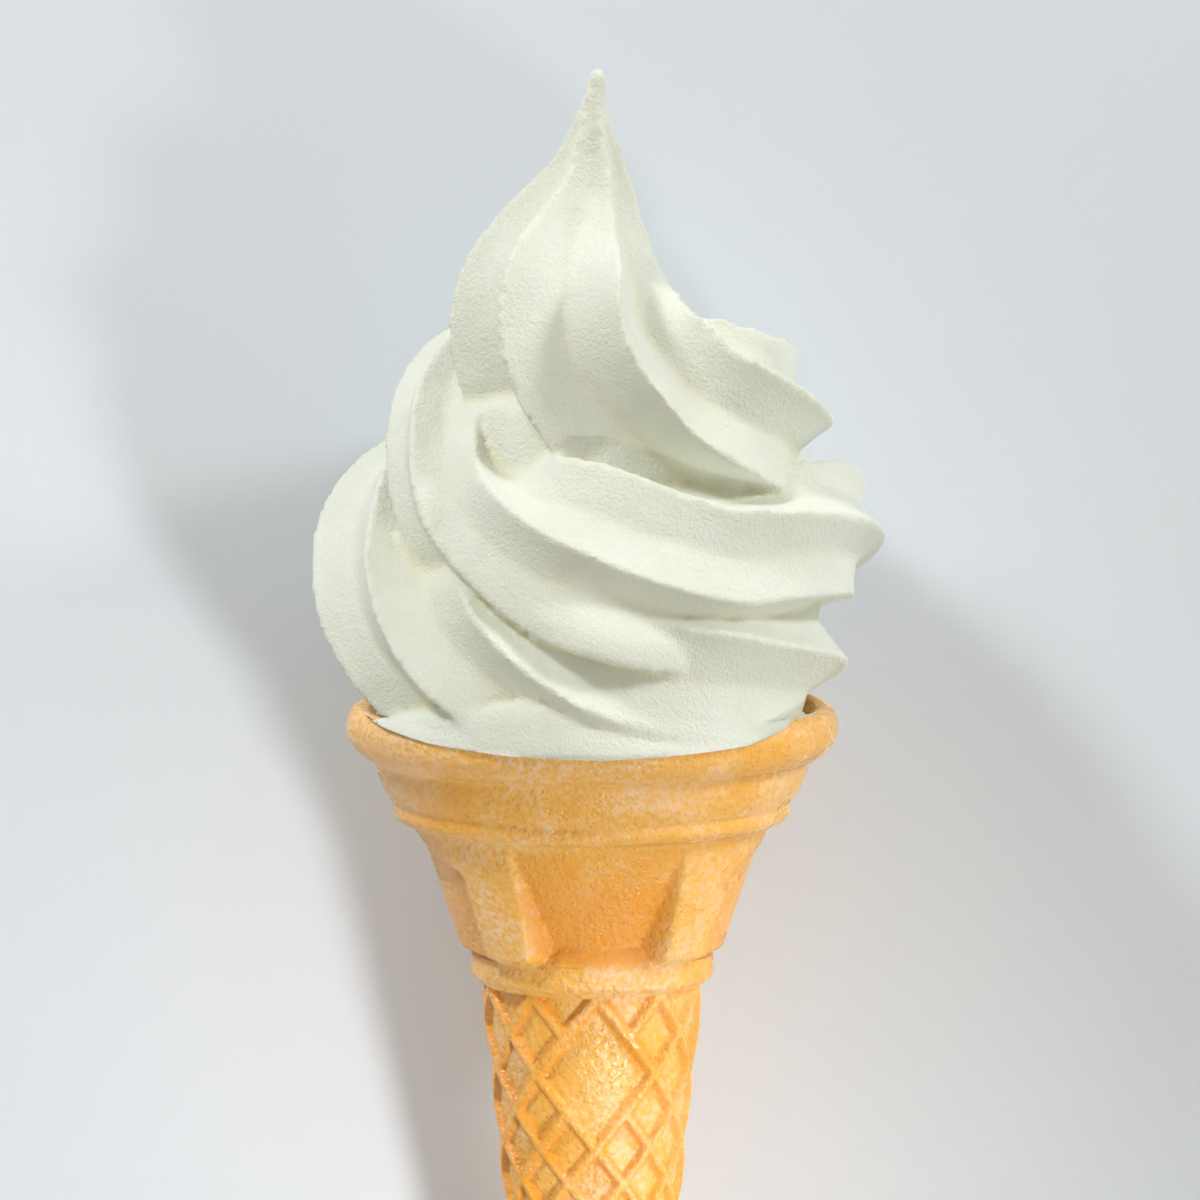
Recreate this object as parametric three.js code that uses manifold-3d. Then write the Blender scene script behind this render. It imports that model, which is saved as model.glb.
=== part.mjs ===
// A soft serve cone lying on its back: one swirl of soft ice cream in a moulded wafer cone.
//
// Millimetres. Both pieces are drawn upright about a vertical axis: height 0 is the top of the
// wafer's rim, the front is -Y, and an angle of 0 faces the front and grows to the right. The
// group then lays them down, with the front up and the peak of the swirl toward +Y.

import * as THREE from 'three';
import { mergeVertices } from 'three/addons/utils/BufferGeometryUtils.js';
import Module from 'manifold-3d';

const wasm = await Module();
wasm.setup();

const DEGREE = Math.PI / 180;
const UP = new THREE.Vector3(0, 0, 1);

// ---- driving dimensions: the wafer's outside, from the rim down ----
// The rolled lip, as radius and height, from its inner edge over the crown to its underside.
const LIP = [[24.4, -1.2], [25.0, -0.3], [26.0, 0], [27.1, -0.8], [27.5, -2.1], [27.1, -3.3]];
const BAND = { top: 24.5, topAt: -6.1, foot: 22.9, footAt: -10.0 };
const BEAD = { radius: 22.3, topAt: -10.7, bottom: 21.7, bottomAt: -12.2, foot: 20.1, footAt: -13.4 };
const CUP = { foot: 15.5, footAt: -27.1 };
const RING = { radius: 13.6, top: -27.9, bottom: -30.4 };
const STEM = { radius: 12.5, top: -31.4, tipRadius: 3.6, tip: -115, root: 2 };

// The small round end of the stem: how far in and how far down its shoulder is.
const TIP = { shoulder: 0.72, shoulderAt: 0.75 };

// The cup's inside, which the ice cream fills. Its cutter starts above the rim.
const RECESS = { radius: 24.4, top: -1.2, floorRadius: 9.5, floor: -24.5, cutFrom: 2 };

// Everything moulded on the wafer is turned by this angle from the front.
const MOULD_TURN = 2.5;

// Two deep windows, front and back, and two shallow ones at the sides.
const WINDOW = { halfWidth: 30, wall: 12, foot: 12.9, footAt: -25.5, shallow: 0.8 };
const CUP_COLUMNS = 60;

// Where the panel between bead and ring has its rings of points, as shares of its height.
const PANEL_RINGS = [0.2, 0.4, 0.6, 0.75, 0.885, 1];

// The lattice of lozenges on the stem: half rows that shrink toward the tip.
const LATTICE = { around: 10, rows: 24, step: 4.62, shrink: 0.963, depth: 0.75, floor: 0.74 };
const BIG_LOZENGE_ROW = 2;

// ---- driving dimensions: the swirl ----
// One rope from a six-pointed nozzle, wound clockwise as seen from above while it rises.
// Each station is 45 degrees on: distance from the axis, height, radius over the crests, and
// how far the crests lag behind the nozzle's points, in degrees.
const ROPE = { points: 6, valley: 0.72, firstPoint: -76, start: -180, stationStep: 45 };
const STATIONS = [
  [15.9, 2.8, 10.1, -6],
  [17.2, 4.8, 10.6, -14],
  [17.8, 6.5, 11.1, -25],
  [16.6, 6.5, 11.6, -54],
  [16.8, 6.2, 12.2, -75],
  [16.6, 7.2, 12.4, -65],
  [18.5, 12.4, 12.7, -7],
  [22.1, 19.7, 12.2, -12],
  [22.7, 19.2, 10.7, -24],
  [22.5, 17.8, 9.6, -33],
  [23.9, 19.6, 9.1, -23],
  [18.3, 16.6, 10.8, -30],
  [15.8, 18.3, 11.9, -39],
  [16.4, 21.3, 6.4, -29],
  [15.9, 29.9, 6.6, -15],
  [17.2, 35.8, 7.1, -11],
  [18.6, 36.2, 7.5, -13],
  [18.6, 33.8, 8.4, -17],
  [15.4, 31.1, 11.9, -22],
  [9.6, 32.6, 13.9, -31],
  [6.0, 37.6, 15.6, -28],
  [4.2, 44.6, 15.2, -14],
  [2.4, 51.2, 10.4, -12],
  [1.0, 57.4, 6.2, -12],
  [0.5, 64.2, 2.7, -16],
  [0.9, 71.0, 0.8, -22],
];
const HEADING_SPAN = 2;
const BEND = { span: 7.5, room: 0.95 };

// The last coil draws in quickly to the peak, and its sections are evened out along the path,
// in degrees of turn: how far the mean spreads, and where it fades in and out again.
const SETTLE = { spread: 26, samples: 15, reach: 2.5, from: 650, full: 690, easing: 840, to: 880 };
const PLUG = { length: 4, scale: 0.6 };
const SECTIONS_PER_STATION = 3;
const SIDES_PER_POINT = 4;
const STATIONS_PER_PIECE = 2;

// The filling under and inside the coils, as radius and height.
const CORE = [[0, 44], [5, 42], [11, 32], [14, 18], [15, 4]];

// The foot of the swirl, round and off the axis, which laps over the rim at the front. It is
// tilted up on the left, where the first coil climbs.
const LAP = { across: 0.3, forward: 3.3, tilt: 2.5, bottom: -2.6 };
const FOOT = [
  [0, 3.4],
  [18.8, 3.2],
  [21.0, 2.6],
  [23.1, 1.6],
  [24.4, 0.5],
  [24.9, -0.8],
  [25.0, -3.6],
  [0, -3.6],
];

// ---- driving dimensions: fit and rest ----
// The gap between the two pieces, and the lip's outside with the gap added.
const GAP = 0.3;
const COVERED = [[24.8, 0], [26.0, 0.3], [27.3, -0.6], [27.8, -2.1], [27.8, LAP.bottom]];

// Below its lap the ice cream is cut away as far as this.
const OUTSIDE = { radius: 55, bottom: -49 };

// Edges shorter than this are merged away after the cuts.
const SLIVER = 0.02;

// The cone leans back on the floor, which is a slab behind it in the upright frame.
const LEAN = 12.3;
const FLOOR = { width: 200, thickness: 100, length: 400, depth: 27.7 };

// ---- helpers ----
// The same surface with shared vertices and without triangles that have shrunk to a line.
function welded(geometry) {
  geometry.deleteAttribute('normal');
  geometry.deleteAttribute('uv');
  const merged = mergeVertices(geometry, 1e-5);
  const corners = merged.index.array;
  const kept = [];
  for (let i = 0; i < corners.length; i += 3) {
    const triangle = [corners[i], corners[i + 1], corners[i + 2]];
    if (new Set(triangle).size === 3) {
      kept.push(...triangle);
    }
  }
  merged.setIndex(kept);
  return merged;
}

function toSolid(geometry) {
  return new wasm.Manifold(new wasm.Mesh({
    numProp: 3,
    vertProperties: new Float32Array(geometry.attributes.position.array),
    triVerts: new Uint32Array(geometry.index.array),
  }));
}

// The largest piece of a solid, with its sealed hollows filled.
function wholeOf(solid) {
  return solid.decompose().reduce((best, next) => (next.volume() > best.volume() ? next : best));
}

function toGeometry(solid) {
  const mesh = solid.simplify(SLIVER).getMesh();
  const geometry = new THREE.BufferGeometry();
  geometry.setAttribute('position', new THREE.BufferAttribute(mesh.vertProperties, 3));
  geometry.setIndex(new THREE.BufferAttribute(mesh.triVerts, 1));
  geometry.computeVertexNormals();
  return geometry;
}

function surface(points, triangles) {
  const geometry = new THREE.BufferGeometry();
  geometry.setAttribute('position', new THREE.Float32BufferAttribute(points.flat(), 3));
  geometry.setIndex(triangles.flat());
  return welded(geometry);
}

// A closed surface turned about the upright axis, from [radius, height] points in order of
// falling height down its outside.
function turned(outline, segments) {
  const points = outline.map(([radius, height]) => new THREE.Vector2(radius, height));
  return welded(new THREE.LatheGeometry(points.reverse(), segments).rotateX(Math.PI / 2));
}

// The place at an angle from the front, a distance from the axis and a height.
function place(angle, radius, height) {
  return [radius * Math.sin(angle * DEGREE), -radius * Math.cos(angle * DEGREE), height];
}

const clamp01 = (value) => THREE.MathUtils.clamp(value, 0, 1);

// The value on a line through [position, value] points, at a position.
function alongLine(line, position) {
  for (let i = 1; i < line.length; i += 1) {
    const [start, from] = line[i - 1];
    const [end, to] = line[i];
    if (position >= end) {
      return THREE.MathUtils.mapLinear(position, start, end, from, to);
    }
  }
  return line[line.length - 1][1];
}

// ---- wafer cone ----
function cupOutline() {
  const panel = PANEL_RINGS.map((share) => [
    THREE.MathUtils.lerp(BEAD.foot, CUP.foot, share),
    THREE.MathUtils.lerp(BEAD.footAt, CUP.footAt, share),
  ]);
  return [
    [0, RECESS.top],
    ...LIP,
    [BAND.top, BAND.topAt],
    [BAND.foot, BAND.footAt],
    [BEAD.radius, BEAD.topAt],
    [BEAD.bottom, BEAD.bottomAt],
    [BEAD.foot, BEAD.footAt],
    ...panel,
    [RING.radius, RING.top],
    [RING.radius, RING.bottom],
    [STEM.radius, STEM.top],
    [0, STEM.top],
  ];
}

const WINDOW_FLOOR = [
  [BEAD.footAt, BEAD.foot],
  [WINDOW.footAt, WINDOW.foot],
  [RING.top, RING.radius],
];

// The outside radius of the cup where a window sinks it.
function windowed(radius, angle, height) {
  if (height >= BEAD.footAt || height <= RING.top) {
    return radius;
  }
  const quarter = Math.round(angle / 90);
  const side = clamp01((WINDOW.halfWidth - Math.abs(angle - 90 * quarter)) / WINDOW.wall);
  if (quarter % 2 !== 0) {
    const down = (BEAD.footAt - height) / (BEAD.footAt - CUP.footAt);
    return radius - WINDOW.shallow * side * clamp01(down);
  }
  return THREE.MathUtils.lerp(radius, alongLine(WINDOW_FLOOR, height), side);
}

function cup() {
  const geometry = turned(cupOutline(), CUP_COLUMNS).rotateZ(MOULD_TURN * DEGREE);
  const position = geometry.attributes.position;
  for (let i = 0; i < position.count; i += 1) {
    const radius = Math.hypot(position.getX(i), position.getY(i));
    const angle = Math.atan2(position.getX(i), -position.getY(i)) / DEGREE;
    const height = position.getZ(i);
    if (radius > RING.radius) {
      const moulded = windowed(radius, angle - MOULD_TURN, height);
      position.setXYZ(i, ...place(angle, moulded, height));
    }
  }
  return toSolid(geometry);
}

// A place on the lattice: rows count down the stem, and columns go round it.
function latticePoint(row, column, sink) {
  const fallen = LATTICE.step * (1 - LATTICE.shrink ** row) / (1 - LATTICE.shrink);
  const height = STEM.top - fallen;
  const taper = (STEM.radius - STEM.tipRadius) / (STEM.top - STEM.tip);
  const radius = STEM.radius - taper * fallen - sink;
  const columns = 2 * LATTICE.around;
  const angle = THREE.MathUtils.euclideanModulo(column, columns) * 360 / columns;
  return place(MOULD_TURN + angle, radius, height);
}

// The points round a lozenge's edge, as rows and columns, from its top corner. A lozenge of
// size 2 takes the place of four, and one on the lattice's end is cut straight there.
function lozengeEdge(row, column, size) {
  const edge = [];
  let corner = [row - size, column];
  for (const [down, across] of [[1, 1], [1, -1], [-1, -1], [-1, 1]]) {
    for (let step = 0; step < size; step += 1) {
      edge.push(corner);
      corner = [corner[0] + down, corner[1] + across];
    }
  }
  if (row === 0) {
    return [[row, column], ...edge.slice(1)];
  }
  if (row === LATTICE.rows) {
    return [edge[0], edge[1], [row, column], edge[3]];
  }
  return edge;
}

function stem() {
  const points = [];
  const triangles = [];
  const add = (point) => points.push(point) - 1;
  const half = LATTICE.around;

  function lozenge(row, column, size) {
    const edge = lozengeEdge(row, column, size);
    const middle = edge.reduce((sum, [r, c]) => [sum[0] + r, sum[1] + c], [0, 0]);
    const [midRow, midColumn] = middle.map((sum) => sum / edge.length);
    const rim = edge.map(([r, c]) => add(latticePoint(r, c, 0)));
    const floor = edge.map(([r, c]) => add(latticePoint(
      THREE.MathUtils.lerp(midRow, r, LATTICE.floor),
      THREE.MathUtils.lerp(midColumn, c, LATTICE.floor),
      LATTICE.depth,
    )));
    const centre = add(latticePoint(midRow, midColumn, LATTICE.depth));
    edge.forEach((_, i) => {
      const next = (i + 1) % edge.length;
      triangles.push([rim[i], floor[i], rim[next]], [rim[next], floor[i], floor[next]]);
      triangles.push([floor[i], centre, floor[next]]);
    });
  }

  const isBig = (row, column) => row === BIG_LOZENGE_ROW && column % half === 0;
  for (let row = 0; row <= LATTICE.rows; row += 1) {
    for (let column = 0; column < 2 * half; column += 1) {
      const near = Math.min(column % half, half - (column % half));
      const inBig = Math.abs(row - BIG_LOZENGE_ROW) + near === 1;
      if (isBig(row, column)) {
        lozenge(row, column, 2);
      } else if ((row + column) % 2 === 1 && !inBig) {
        lozenge(row, column, 1);
      }
    }
  }

  const top = add([0, 0, STEM.top + STEM.root]);
  const [, , lastHeight] = latticePoint(LATTICE.rows, 0, 0);
  const tip = add([0, 0, STEM.tip]);
  for (let column = 0; column < 2 * half; column += 1) {
    const upper = [column, column + 1].map((c) => add(latticePoint(0, c, 0)));
    triangles.push([top, upper[0], upper[1]]);
    const lower = [column, column + 1].map((c) => add(latticePoint(LATTICE.rows, c, 0)));
    const round = [column, column + 1].map((c) => {
      const [x, y] = latticePoint(LATTICE.rows, c, 0);
      const height = THREE.MathUtils.lerp(lastHeight, STEM.tip, TIP.shoulderAt);
      return add([TIP.shoulder * x, TIP.shoulder * y, height]);
    });
    triangles.push([lower[0], round[0], lower[1]], [lower[1], round[0], round[1]]);
    triangles.push([round[0], tip, round[1]]);
  }
  return toSolid(surface(points, triangles));
}

function recess() {
  return toSolid(turned([
    [0, RECESS.cutFrom],
    [RECESS.radius, RECESS.cutFrom],
    [RECESS.radius, RECESS.top],
    [RECESS.floorRadius, RECESS.floor],
    [0, RECESS.floor],
  ], CUP_COLUMNS));
}

// ---- soft serve ----
function station(turn) {
  const along = (turn - ROPE.start) / ROPE.stationStep;
  const index = THREE.MathUtils.clamp(Math.floor(along), 0, STATIONS.length - 2);
  const share = along - index;
  const last = STATIONS.length - 1;
  const at = (i) => {
    if (i < 0) {
      return STATIONS[0].map((value, k) => 2 * value - STATIONS[1][k]);
    }
    if (i > last) {
      return STATIONS[last].map((value, k) => 2 * value - STATIONS[last - 1][k]);
    }
    return STATIONS[i];
  };
  const [before, from, to, after] = [index - 1, index, index + 1, index + 2].map(at);
  return from.map((value, k) => {
    const slope = to[k] - before[k];
    const bend = 2 * before[k] - 5 * value + 4 * to[k] - after[k];
    const twist = 3 * value - before[k] - 3 * to[k] + after[k];
    return value + 0.5 * share * (slope + share * (bend + share * twist));
  });
}

function ropePoint(turn) {
  const [radius, height] = station(turn);
  return new THREE.Vector3(...place(-turn, radius, height));
}

function ropeTangent(turn) {
  return ropePoint(turn + HEADING_SPAN).sub(ropePoint(turn - HEADING_SPAN)).normalize();
}

// One star section of the rope, square to its path. The nozzle doesn't turn, so each crest
// keeps its own compass direction, tipped over with the path. On the inside of a tight bend
// the section eases off short of the centre of the bend, where it would fold over.
function starSection(turn, scale) {
  const [, , size, lag] = station(turn);
  const centre = ropePoint(turn);
  const tip = new THREE.Quaternion().setFromUnitVectors(UP, ropeTangent(turn));
  const inward = ropeTangent(turn + BEND.span).sub(ropeTangent(turn - BEND.span));
  const length = ropePoint(turn + BEND.span).distanceTo(ropePoint(turn - BEND.span));
  const room = BEND.room * length / inward.length();
  inward.normalize();
  const sides = ROPE.points * SIDES_PER_POINT;
  return Array.from({ length: sides }, (_, i) => {
    const share = i / sides;
    const valley = Math.abs(Math.sin(Math.PI * ROPE.points * share));
    const reach = scale * size * (1 - (1 - ROPE.valley) * valley);
    const compass = ROPE.firstPoint + lag + 360 * share;
    const point = new THREE.Vector3(...place(compass, reach, 0)).applyQuaternion(tip);
    const toward = Math.max(point.dot(inward), 0);
    const eased = toward / Math.cbrt(1 + (toward / room) ** 3);
    return point.addScaledVector(inward, eased - toward).add(centre);
  });
}

// A section of the rope as it lies: near the peak, the mean of the sections on both sides.
function ropeSection(turn, scale) {
  const fadeIn = THREE.MathUtils.smoothstep(turn, SETTLE.from, SETTLE.full);
  const fadeOut = THREE.MathUtils.smoothstep(turn, SETTLE.easing, SETTLE.to);
  const settled = fadeIn * (1 - fadeOut);
  const section = starSection(turn, scale);
  if (settled === 0) {
    return section.map((point) => point.toArray());
  }
  const end = ROPE.start + ROPE.stationStep * (STATIONS.length - 1);
  const mean = section.map(() => new THREE.Vector3());
  let total = 0;
  for (let i = 0; i < SETTLE.samples; i += 1) {
    const away = SETTLE.reach * (2 * i / (SETTLE.samples - 1) - 1);
    const weight = Math.exp(-0.5 * away ** 2);
    const other = starSection(Math.min(turn + away * SETTLE.spread, end), scale);
    mean.forEach((point, side) => point.addScaledVector(other[side], weight));
    total += weight;
  }
  return section.map((point, side) => (
    point.lerp(mean[side].divideScalar(total), settled).toArray()
  ));
}

// A closed length of rope through a run of sections, with a smaller plug past each end that
// sinks into its neighbour.
function ropePiece(run) {
  const points = [];
  const triangles = [];
  const sides = ROPE.points * SIDES_PER_POINT;
  const turns = [run[0] - PLUG.length, ...run, run[run.length - 1] + PLUG.length];
  turns.forEach((turn) => points.push(...ropeSection(turn, run.includes(turn) ? 1 : PLUG.scale)));
  for (let i = 0; i < turns.length - 1; i += 1) {
    for (let side = 0; side < sides; side += 1) {
      const a = i * sides + side;
      const b = i * sides + (side + 1) % sides;
      triangles.push([a, b, a + sides], [b, b + sides, a + sides]);
    }
  }
  [[0, true], [turns.length - 1, false]].forEach(([end, first]) => {
    const centre = points.push(ropePoint(turns[end]).toArray()) - 1;
    for (let side = 0; side < sides; side += 1) {
      const a = end * sides + side;
      const b = end * sides + (side + 1) % sides;
      triangles.push(first ? [centre, b, a] : [centre, a, b]);
    }
  });
  return toSolid(surface(points, triangles));
}

function rope() {
  const pieces = [];
  for (let i = 0; i < STATIONS.length - 1; i += STATIONS_PER_PIECE) {
    const end = Math.min(i + STATIONS_PER_PIECE, STATIONS.length - 1);
    const count = (end - i) * SECTIONS_PER_STATION;
    const turns = Array.from({ length: count + 1 }, (_, k) => (
      ROPE.start + ROPE.stationStep * (i + k / SECTIONS_PER_STATION)
    ));
    pieces.push(ropePiece(turns));
  }
  return pieces.reduce((whole, piece) => whole.add(piece));
}

// What fills the cup and the middle of the coils, with the foot that laps over the rim.
function filling() {
  const inside = toSolid(turned([
    ...CORE,
    [RECESS.radius, RECESS.top],
    [RECESS.floorRadius, RECESS.floor],
    [0, RECESS.floor],
  ], CUP_COLUMNS));
  const foot = turned(FOOT, CUP_COLUMNS).rotateY(LAP.tilt * DEGREE);
  return inside.add(toSolid(foot.translate(LAP.across, -LAP.forward, 0)));
}

// The wafer and all below the ice cream's lower edge, with a gap added to the wafer.
function clearOfWafer() {
  return toSolid(turned([
    [0, RECESS.floor + GAP],
    [RECESS.floorRadius - GAP, RECESS.floor + GAP],
    [RECESS.radius - GAP, RECESS.top],
    ...COVERED,
    [OUTSIDE.radius, LAP.bottom],
    [OUTSIDE.radius, OUTSIDE.bottom],
    [0, OUTSIDE.bottom],
  ], CUP_COLUMNS));
}

// ---- rest ----
// The floor in the upright frame: a slab behind the cone, leaning with its outline.
function floor() {
  const slab = new THREE.BoxGeometry(FLOOR.width, FLOOR.thickness, FLOOR.length);
  slab.translate(0, FLOOR.thickness / 2, 0);
  slab.rotateX(-LEAN * DEGREE);
  slab.translate(0, FLOOR.depth, 0);
  return toSolid(welded(slab));
}

function piece(name, solid, material) {
  const mesh = new THREE.Mesh(toGeometry(solid), material);
  mesh.name = name;
  return mesh;
}

const waferMaterial = new THREE.MeshStandardMaterial({ color: 0xe0a95a, roughness: 0.7 });
const creamMaterial = new THREE.MeshStandardMaterial({ color: 0xf3f2e2, roughness: 0.5 });

const ground = floor();
const wafer = cup().add(stem()).subtract(recess()).subtract(ground);
const cream = wholeOf(rope().add(filling()).subtract(clearOfWafer()).subtract(ground));

const cone = new THREE.Group();
cone.add(piece('wafer_cone', wafer, waferMaterial));
cone.add(piece('soft_serve', cream, creamMaterial));
cone.rotation.x = (LEAN - 90) * DEGREE;

// The origin is the middle of the floor patch under the whole.
const part = new THREE.Group();
part.add(cone);
part.updateMatrixWorld(true);
const box = new THREE.Box3().setFromObject(part, true);
const middle = box.getCenter(new THREE.Vector3());
cone.position.set(-middle.x, -middle.y, -box.min.z);
part.updateMatrixWorld(true);

export default part;
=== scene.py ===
"""A soft serve cone lying on its back: a ridged swirl of soft ice cream in a moulded wafer cone.

The pieces are drawn upright in millimetres about a vertical axis, with height 0 at the top of
the wafer's rim, the front at -Y, and angles that grow from the front to the right. Each finished
piece is then laid down into the frame, in metres.
"""

import math

import bmesh
import bpy
import numpy as np
from mathutils import Matrix, Vector, kdtree, noise


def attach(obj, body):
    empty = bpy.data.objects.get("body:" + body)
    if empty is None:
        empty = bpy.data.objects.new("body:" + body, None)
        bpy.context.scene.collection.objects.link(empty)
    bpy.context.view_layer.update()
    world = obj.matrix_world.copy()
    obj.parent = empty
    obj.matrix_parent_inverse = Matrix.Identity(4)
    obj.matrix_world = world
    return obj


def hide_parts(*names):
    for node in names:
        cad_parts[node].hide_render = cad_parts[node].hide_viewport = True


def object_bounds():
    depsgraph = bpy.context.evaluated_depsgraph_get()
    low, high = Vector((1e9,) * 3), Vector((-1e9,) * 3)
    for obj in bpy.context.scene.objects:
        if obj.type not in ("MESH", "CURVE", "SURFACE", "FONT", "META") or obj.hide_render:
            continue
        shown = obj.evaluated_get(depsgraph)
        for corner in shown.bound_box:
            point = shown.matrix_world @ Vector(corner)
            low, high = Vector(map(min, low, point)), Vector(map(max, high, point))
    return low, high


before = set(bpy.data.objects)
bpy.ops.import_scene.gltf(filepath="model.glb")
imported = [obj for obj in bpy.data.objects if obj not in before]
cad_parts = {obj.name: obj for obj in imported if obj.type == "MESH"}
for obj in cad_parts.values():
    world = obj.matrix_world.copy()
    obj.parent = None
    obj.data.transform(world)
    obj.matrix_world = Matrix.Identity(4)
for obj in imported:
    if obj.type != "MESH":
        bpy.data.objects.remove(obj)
SOLIDS_BOX = [list(corner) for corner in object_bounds()]

bl_info = {
    "name": "Soft Serve Cone",
    "version": (1, 0, 0),
    "blender": (4, 5, 0),
    "location": "View3D > Sidebar > Soft Serve",
    "description": "A swirl of soft ice cream in a moulded wafer cone, lying on a pale floor",
    "category": "Object",
}

MM = 0.001

# How the upright cone lies in the frame: tipped back, and moved so that it rests on the floor.
LEAN = 12.3
REST_PLACE = (-0.748, 21.082, 27.064)
LAID = Matrix.Translation(REST_PLACE) @ Matrix.Rotation(math.radians(LEAN - 90), 4, "X")

# The rope of ice cream: a six-pointed star section on a spiral that winds clockwise as it
# rises. Each station is 45 degrees on: distance from the axis, height, radius over the crests,
# and how far the crests lag behind the nozzle's points, in degrees.
ROPE = {"points": 6, "first_point": -76.0, "start": -180.0, "end": 945.0, "step": 45.0}
STATIONS = (
    (15.9, 2.8, 10.1, -6),
    (17.2, 4.8, 10.6, -14),
    (17.8, 6.5, 11.1, -25),
    (17.5, 6.5, 12.4, -46),
    (16.9, 6.2, 12.3, -62),
    (16.6, 7.2, 12.4, -32),
    (18.5, 12.4, 12.7, -7),
    (22.1, 19.7, 12.2, -12),
    (22.7, 19.2, 10.7, -24),
    (22.5, 17.8, 9.6, -33),
    (23.9, 19.6, 9.1, -23),
    (18.3, 16.6, 10.8, -30),
    (15.8, 18.3, 11.9, -39),
    (16.4, 21.3, 9.0, -29),
    (15.9, 29.9, 7.2, -15),
    (17.2, 35.8, 7.1, -11),
    (18.6, 36.2, 7.5, -13),
    (18.6, 33.8, 8.4, -17),
    (15.4, 31.1, 11.9, -22),
    (9.6, 32.6, 13.9, -31),
    (6.0, 37.6, 15.6, -28),
    (4.2, 44.6, 15.2, -14),
    (2.4, 51.2, 10.4, -12),
    (1.0, 57.4, 6.2, -12),
    (0.5, 64.2, 2.7, -16),
    (0.9, 71.0, 0.8, -22),
)

# Over how many degrees of turn either way the heading and the bend are measured, and how near
# the inside of a bend may come to its middle, as a share of its radius.
HEADING_SPAN = 2.0
BEND_SPAN = 7.5
BEND_ROOM = 0.95

# Toward the peak the valleys between the crests deepen, over these degrees of turn.
PEAK = {"valley": 0.62, "from": 560.0, "full": 700.0}

# Toward the peak the rings are evened out along the path: how far the mean spreads, and where
# it fades in and out, in degrees of turn, and how many spreads it takes in.
SETTLE = {"spread": 26.0, "from": 650.0, "full": 690.0, "easing": 840.0, "to": 880.0, "reach": 2.5}

# Where the soft rope is drawn out of shape at the front: the middle coil sags over the lowest
# one, and presses it in. Each is centred on a turn and on a side of the section, in degrees.
SAGS = (
    {"turn": 348.0, "turns": 28.0, "side": 60.0, "sides": 28.0, "out": 6.5},
    {"turn": 5.0, "turns": 28.0, "side": 180.0, "sides": 28.0, "out": -3.0},
)

# What fills the coils and the cup, and the foot that laps over the rim at the front.
CORE = ((0, 44), (5, 42), (14, 34), (16, 27), (16, 18), (15, 4), (24.0, -1.5), (9.2, -24), (0, -24))
FOOT = ((0, 0), (23.2, 0), (24.0, -0.25), (24.5, -0.9), (24.9, -2.2), (25.0, -3.6), (0, -3.6))
FOOT_PLACE = (0.3, -3.3, 0)

# How high the foot reaches up under the lowest crest at each angle.
FOOT_RISE = (
    (-90, 0.0),
    (-60, 0.8),
    (-46, 1.9),
    (-34, 2.7),
    (-22, 3.3),
    (-10, 3.4),
    (2, 1.8),
    (15, 0.2),
    (30, -0.7),
    (90, -1.0),
)

# How low the lap's edge hangs on the rim at each angle, and how far out it stands at a height.
LAP_EDGE = ((-76, 0.3), (-56, -0.6), (-40, -1.6), (-20, -2.3), (3, -2.6), (38, -1.8), (58, 0.3))
LAP_FACE = ((-2.6, 27.9), (-2.0, 28.0), (-0.6, 27.7), (0.3, 26.4))

# The top of the space that the ice cream keeps clear of, which holds the wafer and all below the
# lap's lower edge, and that space's far corners. The lap hangs outside a distance from the axis.
CLEAR_TOP = (
    (0, -24.2),
    (9.2, -24.2),
    (24.1, -1.3),
    (24.8, -0.1),
    (26.0, 0.25),
    (27.3, -0.5),
    (27.75, -2.1),
    (27.7, -2.6),
    (60, -2.6),
)
FAR_BELOW = ((60, -60), (0, -60))
LAP_INSIDE = 25.4

# How the swirl's skin is worked: the times it is evened to lose the steps of its faces, to find
# its ridges and to find its edges, what counts as a full ridge or crease in millimetres, and how
# much its edges are sharpened.
SKIN = {"steps": 3, "ridges": 70, "edges": 6, "ridge": 0.8, "crease": 0.9, "sharpening": 0.9}

# Lumps come from seeded noise: how far apart the seeds are in it, how its finer layers fade, how
# much finer each of them is, and how many there are.
SEED_STEP = (17.3, -9.1, 4.7)
NOISE = (1.0, 2.0, 2)

# Lumps on the surfaces: layers of a height and a size in millimetres, and the first one's seed.
SWIRL_LUMPS = {"seed": 1, "layers": ((0.15, 7), (0.05, 2.2))}
CREST_LUMPS = {"seed": 3, "layers": ((0.06, 1.1),)}
CUP_LUMPS = {"seed": 5, "layers": ((0.18, 14), (0.07, 3), (0.03, 1))}
STEM_LUMPS = {"seed": 8, "layers": ((0.1, 9), (0.06, 2.5), (0.03, 1))}

# The fine lines along the rope are lumps on a drum, which turns with the rope's sides and moves
# on a little for each degree of turn. They end at a distance from the rope's own skin.
STREAKS = {"seed": 4, "size": 0.9, "drum": 12.0, "along": 0.05, "near": 1.5}

# The wafer's cup: its hidden inside, then its outside from the rim's inner edge down.
CUP_INSIDE = ((0, -24.5), (9.5, -24.5), (24.0, -1.8))
CUP_OUTSIDE = (
    (24.4, -1.2),
    (25.0, -0.3),
    (26.0, 0),
    (27.1, -0.7),
    (27.5, -2.0),
    (27.35, -3.4),
    (26.7, -4.6),
    (25.7, -5.5),
    (24.6, -6.0),
    (24.3, -6.4),
    (24.1, -7.4),
    (23.4, -9.2),
    (22.5, -10.6),
    (22.05, -10.95),
    (22.25, -11.4),
    (22.25, -12.1),
    (21.7, -12.8),
    (20.1, -13.4),
    (15.5, -27.1),
    (13.6, -27.9),
    (13.6, -30.4),
    (12.5, -31.4),
)
BEAD_FOOT = (20.1, -13.4)
CUP_FOOT = (15.5, -27.1)
RING = (13.6, -27.9)

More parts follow.
